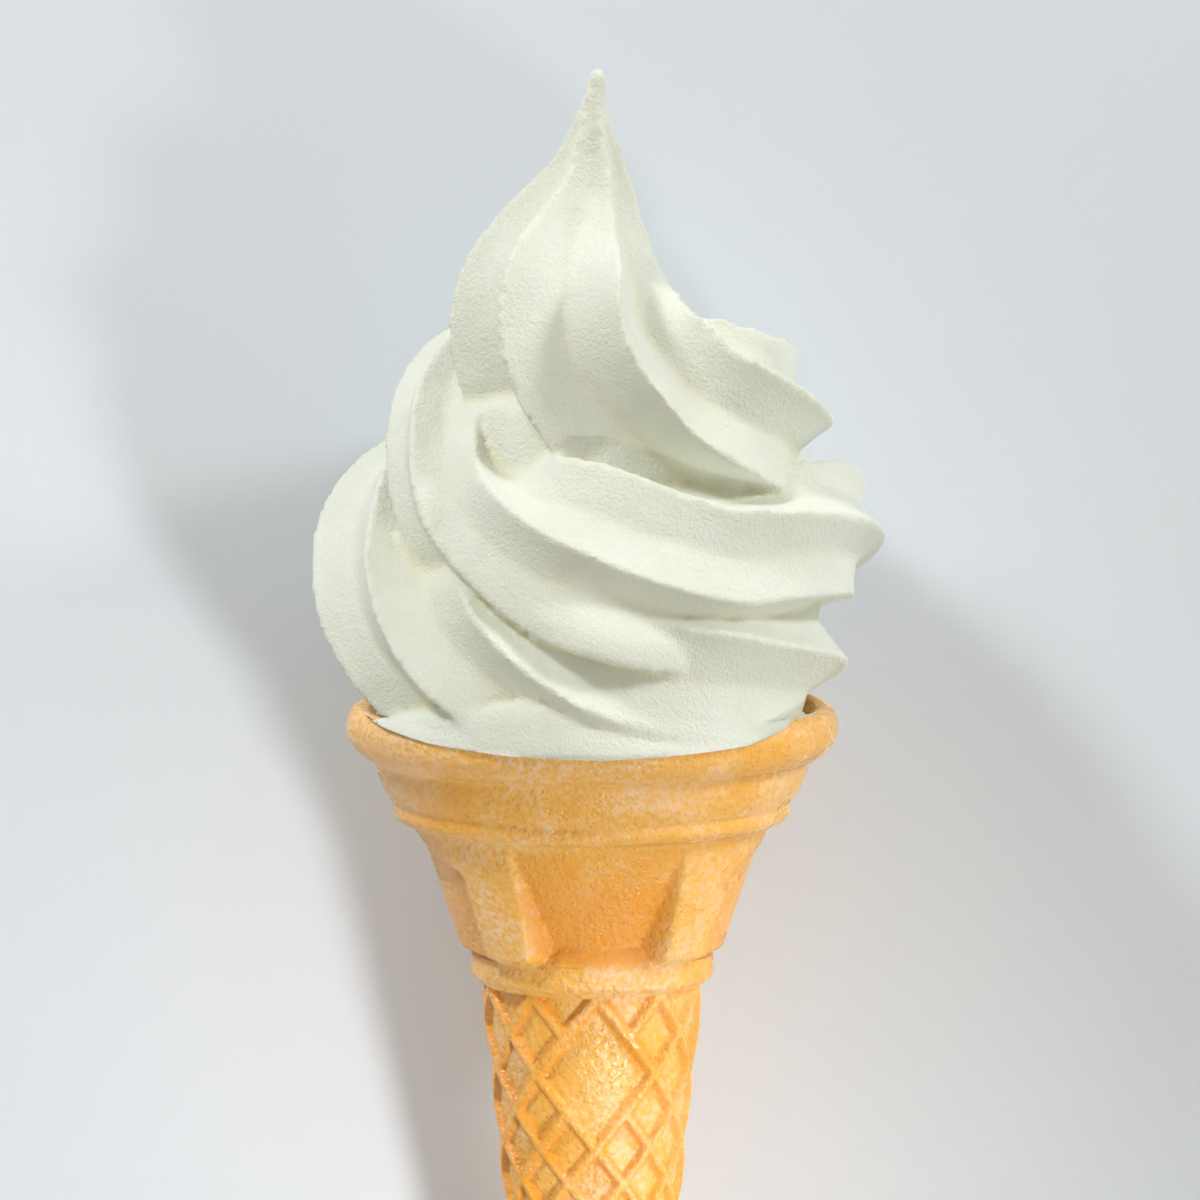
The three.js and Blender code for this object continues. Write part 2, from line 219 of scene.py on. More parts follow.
# The windows, front and back, and those at the sides. Half widths are in degrees. Their tops
# fade in over one part in so many of the panel's height. Past a depth the deeper orange of
# painted shade and bounce light is full.
WINDOW = {"half_width": 30.0, "slope": 1.35, "top_depth": 0.45, "foot": (12.9, -25.5), "fade": 12}
SIDE_WINDOW = {"top": 10.0, "half_width": 37.0, "widest": 0.35, "depth": 0.8, "fade": 6}
RECESS_SHADE_DEPTH = 1.6
MOULD_TURN = 2.5

# The stem, its root inside the cup, the round cap of its tip, and the lattice of lozenges on it.
STEM = {"radius": 12.5, "top": -31.4, "tip_radius": 3.6, "tip": -114.8}
ROOT = {"up": 1.2, "inset": 0.4}
CAP = {"height": 2.2, "from": 0.15, "rings": 8}
LATTICE = {"around": 10, "rows": 24, "step": 4.62, "shrink": 0.963, "depth": 0.75, "fade": 0.4}
RIB = {"top": 0.13, "wall": 0.17}
BIG_LOZENGE_ROW = 2

# How shade is painted down the lozenges' walls: how far down a wall it is most, as a share of the
# wall, how much it is there, and how far below the stem's top it begins, in millimetres.
WALL_SHADE = {"middle": 0.6, "share": 0.9, "clear_of_top": 0.1}

# How finely the pieces are drawn, in sides round the axis or the rope and in millimetres.
ROPE_SIDES = 96
CORE_COLUMNS = 48
FOOT_COLUMNS = 144
CUP_COLUMNS = 360
CUP_STEP = 0.26
STEM_COLUMNS = 270
STEM_RINGS = 260

# The cup's outline is rounded by a running mean: its spread and fine steps in millimetres, and
# how many spreads it takes in.
CUP_ROUNDING = {"spread": 0.16, "step": 0.05, "reach": 3}

# What the materials are like. Scales are those of the grain, the patches and the pits, to a
# millimetre. A pair says where in a mask a colour begins and where it is full, and a share how
# much of it comes over the last. The relief is in metres, and its pits are a share of its grain.
# The values in "shader" go straight to the sockets of those names.
CREAM = {
    "scales": (2.3, 0.09, 3.2),
    "pale": (0.35, 0.7),
    # The crease pair and its share paint a warm shade into the creases.
    "crease": (0.1, 1.0),
    "crease_shade_share": 0.6,
    "roughness": 0.36,
    "rough_grain": 0.3,
    "pits": -0.25,
    "relief": 0.00024,
    "shader": {
        "Specular IOR Level": 0.35,
        "Subsurface Weight": 0.25,
        "Subsurface Radius": (1.0, 0.8, 0.45),
        "Subsurface Scale": 0.0012,
    },
}
WAFER = {
    "scales": (1.3, 0.1, 1.5),
    "speckle": (0.38, 0.7),
    "speckle_share": 0.6,
    "flour": (0.44, 0.62),
    "flour_share": 0.1,
    "flour_speckle": 0.55,
    "toast": (0.48, 0.34),
    "toast_share": 0.6,
    # Painted shade: how much of the deeper orange comes over where the wafer is sunk.
    "recess_shade_share": 0.75,
    "rough_flour": 0.3,
    "rough_grain": 0.4,
    "pits": 0.3,
    "relief": 0.00035,
    "shader": {
        "Specular IOR Level": 0.5,
        "Subsurface Weight": 0.15,
        "Subsurface Radius": (1.0, 0.5, 0.15),
        "Subsurface Scale": 0.001,
    },
}
FLOOR = {"size": 1.5, "scales": (0.4, 0.004, 0.4), "roughness": 0.8}

# What every food's grain has: the fineness of its grain and of its patches, where its pits begin
# and end, and the strength of its relief.
GRAIN = {"detail": 3.0, "patch_detail": 5.0, "pits": (0.05, 0.45), "strength": 0.8}

# The lights: places and sizes in metres, power in watts, and how wide they shine in degrees. They
# are round, so any direction that isn't their own will do for upward.
LIGHTS = {
    "key": {
        "place": (-0.42, 0.58, 0.38),
        "target": (0, 0.04, 0.03),
        "size": 0.12,
        "power": 3.6,
        "colour": (0.97, 0.99, 1),
        "spread": 180,
    },
    "side": {
        "place": (0.5, 0.34, 0.26),
        "target": (0, 0.02, 0.03),
        "size": 0.12,
        "power": 1.9,
        "colour": (0.98, 1, 1),
        "spread": 180,
    },
    "front": {
        "place": (0.3, -0.36, 0.44),
        "target": (0, -0.068, 0.03),
        "size": 0.1,
        "power": 0.06,
        "colour": (1, 0.99, 0.98),
        "spread": 23,
    },
}
LIGHT_UPWARD = (0, 1, 0.01)
SKY_COLOUR = (1, 0.95, 0.8, 1)

# The camera: the upright place that it looks at and its sensor's width, both in millimetres, and
# how far it sees in metres.
CAMERA = {"looks_at": (0.9, 0, 11.7), "sensor": 36, "sees": 10}


# ---- shapes ----
def smoothstep(value):
    share = np.clip(value, 0, 1)
    return share * share * (3 - 2 * share)


def polar(points):
    """Distance from the axis and angle from the front, in degrees, of upright points."""
    radius = np.hypot(points[..., 0], points[..., 1])
    angle = np.degrees(np.arctan2(points[..., 0], -points[..., 1]))
    return radius, angle


def from_polar(radius, angle, height):
    turn = np.radians(angle)
    return np.stack([radius * np.sin(turn), -radius * np.cos(turn), height], axis=-1)


def lathe_rings(outline, columns):
    """Rings of points turned about the axis, one for each point of an outline."""
    outline = np.array(outline, dtype=float)
    angle = np.linspace(-180, 180, columns, endpoint=False)
    radius, height = (np.repeat(outline[:, k : k + 1], columns, axis=1) for k in (0, 1))
    return from_polar(radius, angle, height)


def add_tube(shape, rings):
    """Adds a closed tube: a grid that is rolled up into rings, with both its ends closed."""
    rows, sides = rings.shape[:2]
    grid = bmesh.ops.create_grid(shape, x_segments=rows - 1, y_segments=sides, size=1)["verts"]
    for vertex in grid:
        row = round((vertex.co.x + 1) / 2 * (rows - 1))
        side = round((vertex.co.y + 1) / 2 * sides) % sides
        vertex.co = rings[row, side]
    bmesh.ops.remove_doubles(shape, verts=grid, dist=1e-5)
    open_edges = [edge for edge in shape.edges if edge.is_boundary]
    bmesh.ops.holes_fill(shape, edges=open_edges, sides=0)
    bmesh.ops.recalc_face_normals(shape, faces=shape.faces[:])


def mesh_of(shape, name):
    mesh = bpy.data.meshes.new(name)
    shape.to_mesh(mesh)
    shape.free()
    return mesh


def laid_piece(name, mesh, node, material):
    """Turns an upright mesh in millimetres into a finished piece that rides on the frame."""
    mesh.transform(Matrix.Scale(MM, 4) @ LAID)
    piece = bpy.data.objects.new(name, mesh)
    bpy.context.scene.collection.objects.link(piece)
    mesh.shade_smooth()
    mesh.materials.clear()
    mesh.materials.append(material)
    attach(piece, "root")
    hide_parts(node)
    return piece


def points_of(mesh, kind="co"):
    """The places, or the normals, of a mesh's vertices as an array."""
    values = np.empty(3 * len(mesh.vertices))
    mesh.vertices.foreach_get(kind, values)
    return values.reshape(-1, 3)


def evened(mesh, points, times):
    """The points of a mesh, drawn halfway toward their neighbours' mean a number of times."""
    pairs = np.empty(2 * len(mesh.edges), dtype=np.int64)
    mesh.edges.foreach_get("vertices", pairs)
    near, far = pairs.reshape(-1, 2).T
    count = np.bincount(pairs, minlength=len(points))
    for _ in range(times):
        sums = [
            np.bincount(near, points[far, k], len(points))
            + np.bincount(far, points[near, k], len(points))
            for k in range(3)
        ]
        points = (points + np.stack(sums, axis=-1) / count[:, None]) / 2
    return points


def bell_weights(step, spread, reach):
    """Weights of a running mean over steps, which takes in so many spreads either way."""
    count = int(reach * spread / step)
    weights = np.exp(-0.5 * (np.arange(-count, count + 1) * step / spread) ** 2)
    return weights / weights.sum()


def lumps(points, size, seed):
    """Smooth seeded unevenness at each point, about -1 to 1, with lumps of a size in mm."""
    offset = Vector([seed * step for step in SEED_STEP])
    flat = points.reshape(-1, 3) / size
    values = [noise.fractal(Vector(point) + offset, *NOISE) for point in flat]
    return np.array(values).reshape(points.shape[:-1])


def uneven(points, seed, layers):
    """The sum of layers of lumps, each with its height, its size and the next seed."""
    return sum(height * lumps(points, size, seed + k) for k, (height, size) in enumerate(layers))


def add_values(piece, name, values):
    layer = piece.data.attributes.new(name, "FLOAT", "POINT")
    layer.data.foreach_set("value", np.asarray(values, dtype=np.float32))


def inside_box(points):
    """Upright points with none of them under the floor, or outside the solids' box."""
    turn = np.array(LAID.to_3x3())
    place = np.array(REST_PLACE)
    laid = np.clip(points @ turn.T + place, *(np.array(SOLIDS_BOX) / MM))
    return (laid - place) @ turn


def upright_points(piece):
    """The places of a laid piece's vertices, upright again and in millimetres."""
    return (points_of(piece.data) / MM - np.array(REST_PLACE)) @ np.array(LAID.to_3x3())


# ---- the swirl ----
def station_at(turns):
    """Distance, height, size and lag of the rope at each turn, on a smooth curve."""
    rows = np.array(STATIONS, dtype=float)
    padded = np.vstack([2 * rows[0] - rows[1], rows, 2 * rows[-1] - rows[-2]])
    along = (turns - ROPE["start"]) / ROPE["step"]
    index = np.clip(np.floor(along).astype(int), 0, len(rows) - 2)
    share = (along - index)[:, None]
    before, start, end, after = (padded[index + k] for k in range(4))
    slope = end - before
    bend = 2 * before - 5 * start + 4 * end - after
    twist = 3 * start - before - 3 * end + after
    return start + 0.5 * share * (slope + share * (bend + share * twist))


def path_at(turns):
    stations = station_at(turns)
    return from_polar(stations[:, 0], -turns, stations[:, 1])


def heading_at(turns):
    ahead = path_at(turns + HEADING_SPAN) - path_at(turns - HEADING_SPAN)
    return ahead / np.linalg.norm(ahead, axis=1)[:, None]


def star_rings(turns, sides, valley):
    """Star sections square to the path. The nozzle doesn't turn, so each crest keeps its own
    compass direction and is tipped over with the path. The inside of a tight bend eases off."""
    stations = station_at(turns)
    heading = heading_at(turns)
    inward = heading_at(turns + BEND_SPAN) - heading_at(turns - BEND_SPAN)
    bend = np.linalg.norm(inward, axis=1) + 1e-9
    chord = path_at(turns + BEND_SPAN) - path_at(turns - BEND_SPAN)
    room = (BEND_ROOM * np.linalg.norm(chord, axis=1) / bend)[:, None]
    inward = (inward / bend[:, None])[:, None]
    share = np.arange(sides) / sides
    half = math.pi / ROPE["points"]
    past = half - np.abs(2 * math.pi * share % (2 * half) - half)
    deeper = smoothstep((turns - PEAK["from"]) / (PEAK["full"] - PEAK["from"]))
    dip = (valley + (PEAK["valley"] - valley) * deeper)[:, None]
    straight = dip * math.sin(half) / (np.sin(past) + dip * np.sin(half - past))
    reach = stations[:, 2:3] * straight
    compass = np.radians(ROPE["first_point"] + stations[:, 3:4] + 360 * share)
    level = np.stack([np.sin(compass), -np.cos(compass), np.zeros_like(compass)], axis=-1)
    tilt = np.cross((0, 0, 1.0), heading)[:, None]
    crossed = np.cross(tilt, level)
    arm = level + crossed + np.cross(tilt, crossed) / (1 + heading[:, None, 2:3])
    arm *= reach[..., None]
    toward = np.maximum((arm * inward).sum(axis=-1), 0)
    eased = toward / np.cbrt(1 + (toward / room) ** 3)
    arm += inward * (eased - toward)[..., None]
    return path_at(turns)[:, None] + arm


def settled(rings, turns):
    """The rings, evened out along the path where the last coil draws in to the peak."""
    weights = bell_weights(turns[1] - turns[0], SETTLE["spread"], SETTLE["reach"])
    reach = len(weights) // 2
    padded = np.pad(rings, ((reach, reach), (0, 0), (0, 0)), mode="edge")
    mean = sum(weight * padded[k : k + len(rings)] for k, weight in enumerate(weights))
    fade_in = smoothstep((turns - SETTLE["from"]) / (SETTLE["full"] - SETTLE["from"]))
    fade_out = smoothstep((turns - SETTLE["easing"]) / (SETTLE["to"] - SETTLE["easing"]))
    share = fade_in * (1 - fade_out)
    return rings + share[:, None, None] * (mean - rings)


def sagged(rings, turns):
    """The rings, moved out from the axis or in toward it where the rope sags or is pressed."""
    sides = 360 * np.arange(rings.shape[1]) / rings.shape[1]
    outward = path_at(turns) * (1, 1, 0)
    outward /= np.linalg.norm(outward, axis=1)[:, None]
    for sag in SAGS:
        on_turn = np.exp(-(((turns - sag["turn"]) / sag["turns"]) ** 2))
        on_side = np.exp(-(((sides - sag["side"]) / sag["sides"]) ** 2))
        share = on_turn[:, None] * on_side
        rings = rings + sag["out"] * share[..., None] * outward[:, None]
    return rings


def fused(shape, voxel):
    """A mesh with one skin over overlapping solids."""
    block = bpy.data.objects.new("block", mesh_of(shape, "block"))
    bpy.context.scene.collection.objects.link(block)
    remesh = block.modifiers.new("skin", "REMESH")
    remesh.mode = "VOXEL"
    remesh.voxel_size = voxel
    depsgraph = bpy.context.evaluated_depsgraph_get()
    skin = bpy.data.meshes.new_from_object(block.evaluated_get(depsgraph))
    bpy.data.meshes.remove(block.data)
    return skin


def are_inside(spots, corners):
    """Which places, as radius and height, are inside a closed outline."""
    inside = np.zeros(len(spots), dtype=bool)
    for (r0, h0), (r1, h1) in zip(corners, np.roll(corners, -1, axis=0)):
        crosses = (h0 > spots[:, 1]) != (h1 > spots[:, 1])
        level = (spots[:, 1] - h0) / (h1 - h0 if h1 != h0 else 1)
        inside ^= crosses & (spots[:, 0] < r0 + level * (r1 - r0))
    return inside


def nearest_on(spots, corners):
    """The nearest place to each one on the line through some corners."""
    nearest = np.full(len(spots), np.inf)
    places = spots.copy()
    for start, end in zip(corners, corners[1:]):
        line = end - start
        share = np.clip(((spots - start) @ line) / (line @ line), 0, 1)
        foot = start + share[:, None] * line
        distance = np.linalg.norm(spots - foot, axis=1)
        closer = distance < nearest
        nearest[closer] = distance[closer]
        places[closer] = foot[closer]
    return places


def pushed_clear(points):
    """The points, moved out of the space to keep clear of, and up to the lap's edge."""
    radius, angle = polar(points)
    spots = np.stack([radius, points[:, 2]], axis=-1)
    inside = are_inside(spots, np.array(CLEAR_TOP + FAR_BELOW, dtype=float))
    spots[inside] = nearest_on(spots[inside], np.array(CLEAR_TOP, dtype=float))
    edge = np.interp(angle, *np.array(LAP_EDGE).T)
    hangs = (spots[:, 0] > LAP_INSIDE) & (spots[:, 1] < edge)
    face = np.interp(edge, *np.array(LAP_FACE).T)
    spots[hangs] = np.stack([np.minimum(spots[:, 0], face), edge], axis=-1)[hangs]
    return from_polar(spots[:, 0], angle, spots[:, 1])


def streaks(points, rings, turns):
    """Fine lines that the nozzle draws along the rope: how far each point stands out."""
    rows, sides = rings.shape[:2]
    tree = kdtree.KDTree(rows * sides)
    for index, point in enumerate(rings.reshape(-1, 3)):
        tree.insert(point, index)
    tree.balance()
    found = [tree.find(point) for point in points]
    nearest = np.array([index for _, index, _ in found])
    distance = np.array([distance for _, _, distance in found])
    side = 360 * (nearest % sides) / sides
    along = turns[nearest // sides]
    spots = from_polar(np.full(len(points), STREAKS["drum"]), side, STREAKS["along"] * along)
    near = np.clip(STREAKS["near"] - distance, 0, 1)
    return lumps(spots, STREAKS["size"], STREAKS["seed"]) * near


def foot_rings():
    """The foot's rings, raised under the lowest crest. Their undersides stay where they are."""
    foot = lathe_rings(FOOT, FOOT_COLUMNS)
    rise = np.interp(polar(foot)[1], *np.array(FOOT_RISE).T)
    foot[..., 2] += rise * (1 + foot[..., 2] / -FOOT[-1][1])
    return foot + FOOT_PLACE


def swirl_skin(rings, face):
    """One skin over the rope, the filling and the foot."""
    shape = bmesh.new()
    for solid in (rings, lathe_rings(CORE, CORE_COLUMNS), foot_rings()):
        add_tube(shape, solid)
    return fused(shape, face)


def stands_out(mesh, points, normals, times):
    """How far each point stands out from the mesh when that is evened a number of times."""
    return ((points - evened(mesh, points, times)) * normals).sum(axis=1)


def swirl_piece(settings):
    turns = np.arange(ROPE["start"], ROPE["end"] + 0.01, settings.rope_step)
    rings = sagged(settled(star_rings(turns, ROPE_SIDES, settings.valley), turns), turns)
    skin = swirl_skin(rings, settings.swirl_mesh / MM)
    points = evened(skin, points_of(skin), SKIN["steps"])
    skin.vertices.foreach_set("co", points.ravel())
    normals = points_of(skin, "normal")
    relief = stands_out(skin, points, normals, SKIN["ridges"])
    crest = np.clip(relief / SKIN["ridge"], 0, 1)
    # Painted shade: how deep each point lies in a crease, for the warm shade painted there.
    painted_crease_shade = np.clip(-relief / SKIN["crease"], 0, 1)
    raised = uneven(points, **SWIRL_LUMPS) + crest**2 * uneven(points, **CREST_LUMPS)
    raised += settings.streak_height / MM * streaks(points, rings, turns)
    raised += SKIN["sharpening"] * stands_out(skin, points, normals, SKIN["edges"])
    points = inside_box(pushed_clear(points + normals * raised[:, None]))
    skin.vertices.foreach_set("co", points.ravel())
    piece = laid_piece("soft_serve_swirl", skin, "soft_serve", cream_material(settings))
    add_values(piece, "painted_crease_shade", painted_crease_shade)
    return piece


# ---- the wafer ----
def softened(outline, step):
    """The same outline in short even steps, with its corners rounded."""
    corners = np.array(outline, dtype=float)
    lengths = np.hypot(*np.diff(corners, axis=0).T)
    along = np.concatenate([[0], np.cumsum(lengths)])
    fine = np.linspace(0, along[-1], int(along[-1] / CUP_ROUNDING["step"]))
    line = np.stack([np.interp(fine, along, corners[:, k]) for k in (0, 1)], axis=-1)
    weights = bell_weights(**CUP_ROUNDING)
    reach = len(weights) // 2
    ends = np.pad(line, ((reach, reach), (0, 0)), mode="reflect", reflect_type="odd")
    line = np.stack([np.convolve(ends[:, k], weights, "valid") for k in (0, 1)], axis=-1)
    keep = np.linspace(0, len(line) - 1, int(along[-1] / step)).round().astype(int)
    return line[keep]


def window_sink(radius, angle, height):
    """How far the cup's outside is sunk by its two deep and two shallow windows."""
    top, foot, ring = BEAD_FOOT, WINDOW["foot"], RING
    quarter = np.round(angle / 90)
    faces_front = quarter % 2 == 0
    down = np.clip((top[1] - height) / (top[1] - CUP_FOOT[1]), 0, 1)
    widening = smoothstep(down / SIDE_WINDOW["widest"])
    arch = SIDE_WINDOW["top"] + (SIDE_WINDOW["half_width"] - SIDE_WINDOW["top"]) * widening
    half_width = np.where(faces_front, WINDOW["half_width"], arch)
    edge = np.radians(half_width - np.abs(angle - 90 * quarter)) * radius
    floor = np.interp(-height, [-top[1], -foot[1], -ring[1]], [top[0], foot[0], ring[0]])
    shallow = SIDE_WINDOW["depth"] * smoothstep(SIDE_WINDOW["fade"] * down)
    deep = np.maximum(radius - floor, WINDOW["top_depth"] * smoothstep(WINDOW["fade"] * down))
    depth = np.where(faces_front, deep, shallow)
    sink = np.clip(WINDOW["slope"] * edge, 0, depth)
    outside = (height < top[1]) & (height > ring[1]) & (radius > ring[0])
    return np.where(outside, sink, 0)


def wafer_piece(name, rings, sink, shown, lumpiness, settings):
    """A piece of wafer from rings, sunk toward the axis. Those that are shown have lumps too."""
    sink[shown] += uneven(rings[shown], **lumpiness)
    radius, angle = polar(rings)
    shape = bmesh.new()
    add_tube(shape, inside_box(from_polar(radius - sink, angle, rings[..., 2])))
    return laid_piece(name, mesh_of(shape, name), "wafer_cone", wafer_material(settings))


def cup_piece(settings):
    outside = softened(CUP_OUTSIDE, CUP_STEP)
    outline = np.vstack([CUP_INSIDE, outside, (0, CUP_OUTSIDE[-1][1])])
    rings = lathe_rings(outline, CUP_COLUMNS)
    radius, angle = polar(rings)
    sink = window_sink(radius, angle - MOULD_TURN, rings[..., 2])
    shown = slice(len(CUP_INSIDE) + 1, -1)
    piece = wafer_piece("wafer_cup", rings, sink, shown, CUP_LUMPS, settings)
    upright = upright_points(piece)
    # Painted shade: the further a point is sunk into a window, the more of the deeper orange of
    # shade and bounce light is painted on it.
    unsunk = np.interp(-upright[:, 2], [-h for _, h in outside], [r for r, _ in outside])
    deep = np.clip((unsunk - polar(upright)[0]) / RECESS_SHADE_DEPTH, 0, 1)
    add_values(piece, "sunk", deep * (upright[:, 2] < BEAD_FOOT[1]))
    return piece


def lattice_ridge(angle, height):
    """How far each place on the stem is from a line of the lattice: 0 on it, 1 at the middle
    of a lozenge. The big lozenges take the place of four."""
    fallen = np.clip(STEM["top"] - height, 0, None)
    left = 1 - fallen * (1 - LATTICE["shrink"]) / LATTICE["step"]
    row = np.log(np.clip(left, 1e-3, None)) / math.log(LATTICE["shrink"])
    column = (angle - MOULD_TURN) / 180 * LATTICE["around"]
    near = np.minimum(*[np.abs((row + sign * column + 1) % 2 - 1) for sign in (1, -1)])
    across = np.abs((column + LATTICE["around"] / 2) % LATTICE["around"] - LATTICE["around"] / 2)
    big = 2 - np.abs(row - BIG_LOZENGE_ROW) - across
    near = np.where(big > 0, np.minimum(big, 1), near)
    return near * smoothstep((LATTICE["rows"] - row) / LATTICE["fade"])


def stem_piece(settings):
    top, tip, end = STEM["top"], STEM["tip"], CAP["height"]
    heights = np.linspace(top, tip + end, STEM_RINGS)
    taper = (STEM["radius"] - STEM["tip_radius"]) / (top - tip)
    radii = STEM["radius"] - taper * (top - heights)
    rounding = np.linspace(CAP["from"], 1, CAP["rings"])
    root = [(0, top + ROOT["up"]), (STEM["radius"] - ROOT["inset"], top + ROOT["up"])]
    cap = np.stack([radii[-1] * np.sqrt(1 - rounding**2), tip + end * (1 - rounding)], axis=-1)
    outline = np.vstack([root, np.stack([radii, heights], axis=-1), cap])
    rings = lathe_rings(outline, STEM_COLUMNS)
    shown = slice(len(root), -len(cap))
    near = lattice_ridge(polar(rings)[1], rings[..., 2])[shown]
    sink = np.zeros(rings.shape[:2])
    sink[shown] = LATTICE["depth"] * smoothstep((near - RIB["top"]) / RIB["wall"])
    piece = wafer_piece("wafer_stem", rings, sink, shown, STEM_LUMPS, settings)
    upright = upright_points(piece)
    near = lattice_ridge(polar(upright)[1], upright[:, 2])
    # Painted shade: a band of deeper orange painted down each wall of the lozenges.
    off = (near - RIB["top"] - WALL_SHADE["middle"] * RIB["wall"]) / RIB["wall"]
    below = upright[:, 2] < top - WALL_SHADE["clear_of_top"]
    add_values(piece, "sunk", WALL_SHADE["share"] * np.exp(-(off**2)) * below)
    return piece


# ---- materials ----
def add_node(tree, kind, **sockets):
    """Adds a shader node and sets or links its named inputs."""
    node = tree.nodes.new("ShaderNode" + kind)
    for name, value in sockets.items():
        put(tree, node.inputs[name.replace("_", " ")], value)
    return node


def put(tree, socket, value):
    if isinstance(value, bpy.types.NodeSocket):
        tree.links.new(value, socket)
    else:
        socket.default_value = value


def mixed(tree, share, first, second):
    """A colour between two colours."""
    node = tree.nodes.new("ShaderNodeMix")
    node.data_type = "RGBA"
    for index, value in ((0, share), (6, first), (7, second)):
        put(tree, node.inputs[index], value)
    return node.outputs[2]


def tinted(tree, colour, mask, share, tint):
    """A colour with a share of a tint over it, where a mask is."""
    return mixed(tree, worked(tree, "MULTIPLY", mask, share), colour, tint)


def worked(tree, operation, first, second, third=0.0):
    node = tree.nodes.new("ShaderNodeMath")
    node.operation = operation
    for socket, value in zip(node.inputs, (first, second, third)):
        put(tree, socket, value)
    return node.outputs[0]


def ramped(tree, value, low, high):
    """0 below low and 1 above high, smooth between."""
    node = tree.nodes.new("ShaderNodeMapRange")
    node.interpolation_type = "SMOOTHSTEP"
    tree.links.new(value, node.inputs["Value"])
    node.inputs["From Min"].default_value = low
    node.inputs["From Max"].default_value = high
    return node.outputs["Result"]


def attribute(tree, name):
    node = tree.nodes.new("ShaderNodeAttribute")
    node.attribute_name = name
    return node.outputs["Fac"]


def grain_group():
    """Fine grain over broad patches, for any food surface: masks from Object coordinates."""
    name = "Food grain"
    if name in bpy.data.node_groups:
        return bpy.data.node_groups[name]
    group = bpy.data.node_groups.new(name, "ShaderNodeTree")
    face = group.interface
    face.new_socket("Vector", in_out="INPUT", socket_type="NodeSocketVector")
    for socket in ("Grain Scale", "Patch Scale", "Pit Scale"):
        face.new_socket(socket, in_out="INPUT", socket_type="NodeSocketFloat")
    for socket in ("Grain", "Patch", "Pits"):
        face.new_socket(socket, in_out="OUTPUT", socket_type="NodeSocketFloat")
    start = group.nodes.new("NodeGroupInput").outputs
    end = group.nodes.new("NodeGroupOutput").inputs
    place = start["Vector"]
    for name, scale, detail in (
        ("Grain", start["Grain Scale"], GRAIN["detail"]),
        ("Patch", start["Patch Scale"], GRAIN["patch_detail"]),
    ):
        texture = add_node(group, "TexNoise", Vector=place, Scale=scale, Detail=detail)
        group.links.new(texture.outputs[0], end[name])
    pits = add_node(group, "TexVoronoi", Vector=place, Scale=start["Pit Scale"])
    group.links.new(ramped(group, pits.outputs["Distance"], *GRAIN["pits"]), end["Pits"])
    return group


def grain_masks(tree, grain, patch, pits):
    """The food grain group in a material, with its scales in grains per millimetre."""
    node = tree.nodes.new("ShaderNodeGroup")
    node.node_tree = grain_group()
    place = tree.nodes.new("ShaderNodeTexCoord").outputs["Object"]
    tree.links.new(place, node.inputs["Vector"])
    for name, value in (("Grain Scale", grain), ("Patch Scale", patch), ("Pit Scale", pits)):
        node.inputs[name].default_value = value / MM
    return node.outputs


def new_material(name):
    material = bpy.data.materials.new(name)
    material.use_nodes = True
    shader = material.node_tree.nodes["Principled BSDF"]
    return material, material.node_tree, shader


def dress(tree, shader, masks, colour, rough, look):
    """Gives a food's shader its colour, its roughness, its fixed values and its relief."""
    tree.links.new(colour, shader.inputs["Base Color"])
    tree.links.new(rough, shader.inputs["Roughness"])
    for name, value in look["shader"].items():
        shader.inputs[name].default_value = value
    height = worked(tree, "MULTIPLY_ADD", masks["Pits"], look["pits"], masks["Grain"])
    strength, distance = GRAIN["strength"], look["relief"]
    bump = add_node(tree, "Bump", Height=height, Strength=strength, Distance=distance)
    tree.links.new(bump.outputs[0], shader.inputs["Normal"])


def cream_material(settings):
    material, tree, shader = new_material("soft_serve_cream")
    masks = grain_masks(tree, *CREAM["scales"])
    pale = ramped(tree, masks["Patch"], *CREAM["pale"])
    colour = mixed(tree, pale, settings.cream, settings.cream_pale)
    # Painted shade: a warm, darker tint painted down in the creases, standing in for shade and
    # bounced light.
    crease = ramped(tree, attribute(tree, "painted_crease_shade"), *CREAM["crease"])
    colour = tinted(tree, colour, crease, CREAM["crease_shade_share"], settings.cream_crease_shade)
    rough = worked(tree, "MULTIPLY_ADD", masks["Grain"], CREAM["rough_grain"], CREAM["roughness"])
    dress(tree, shader, masks, colour, rough, CREAM)
    return material


def wafer_material(settings):
    name = "baked_wafer"
    if name in bpy.data.materials:
        return bpy.data.materials[name]
    material, tree, shader = new_material(name)
    masks = grain_masks(tree, *WAFER["scales"])
    speckle = ramped(tree, masks["Grain"], *WAFER["speckle"])
    colour = settings.wafer
    colour = tinted(tree, colour, speckle, WAFER["speckle_share"], settings.wafer_light)
    dusted = ramped(tree, masks["Patch"], *WAFER["flour"])
    share = worked(tree, "MULTIPLY_ADD", speckle, WAFER["flour_speckle"], WAFER["flour_share"])
    colour = tinted(tree, colour, dusted, share, settings.wafer_floury)
    toasted = ramped(tree, masks["Patch"], *WAFER["toast"])
    colour = tinted(tree, colour, toasted, WAFER["toast_share"], settings.wafer_toasted)
    # Painted shade and bounce light: a deeper orange where the wafer is sunk into its windows and
    # down the lozenges' walls.
    sunk = attribute(tree, "sunk")
    colour = tinted(tree, colour, sunk, WAFER["recess_shade_share"], settings.wafer_recess_shade)
    floury = worked(tree, "MULTIPLY", dusted, WAFER["rough_flour"])
    rough = worked(tree, "MULTIPLY_ADD", masks["Grain"], WAFER["rough_grain"], floury)
    dress(tree, shader, masks, colour, rough, WAFER)
    return material


# ---- the stage ----
def aimed(target, place, upward):
    """A turn that looks from a place to a target, with a given direction up in the picture."""
    back = (place - target).normalized()
    right = upward.cross(back).normalized()
    turn = Matrix((right, back.cross(right), back)).transposed().to_4x4()
    return Matrix.Translation(place) @ turn


